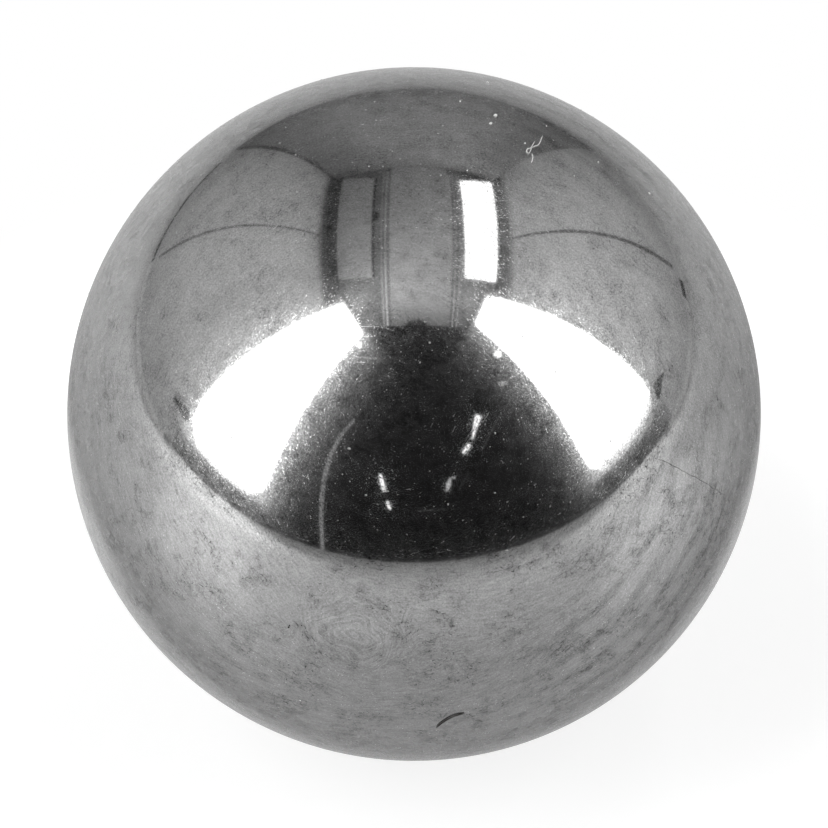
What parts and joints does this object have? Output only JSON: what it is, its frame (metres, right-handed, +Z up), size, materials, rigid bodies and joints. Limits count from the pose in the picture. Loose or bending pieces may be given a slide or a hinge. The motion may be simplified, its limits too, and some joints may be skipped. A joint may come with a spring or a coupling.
{
  "type": "steel ball",
  "caption": "Solid polished steel ball, a plain true sphere for rolling, dropping, weighing down or seating in a cup, with fine handling scratches and a little lint.",
  "frame": {"origin": "centre of the ball", "axes": "+Z up, and +Y away from the side that the picture shows; the solid is the same about every axis"},
  "size_m": [0.025, 0.025, 0.025],
  "materials": {
    "steel": "mirror polished, with fine random hairline scratches, pits and wipe marks",
    "lint": "loose pale fibres and dust on the surface",
    "hair": "one dark fibre and a few dark specks on the surface"
  },
  "bodies": {
    "root": {"ball": "steel"}
  },
  "joints": []
}
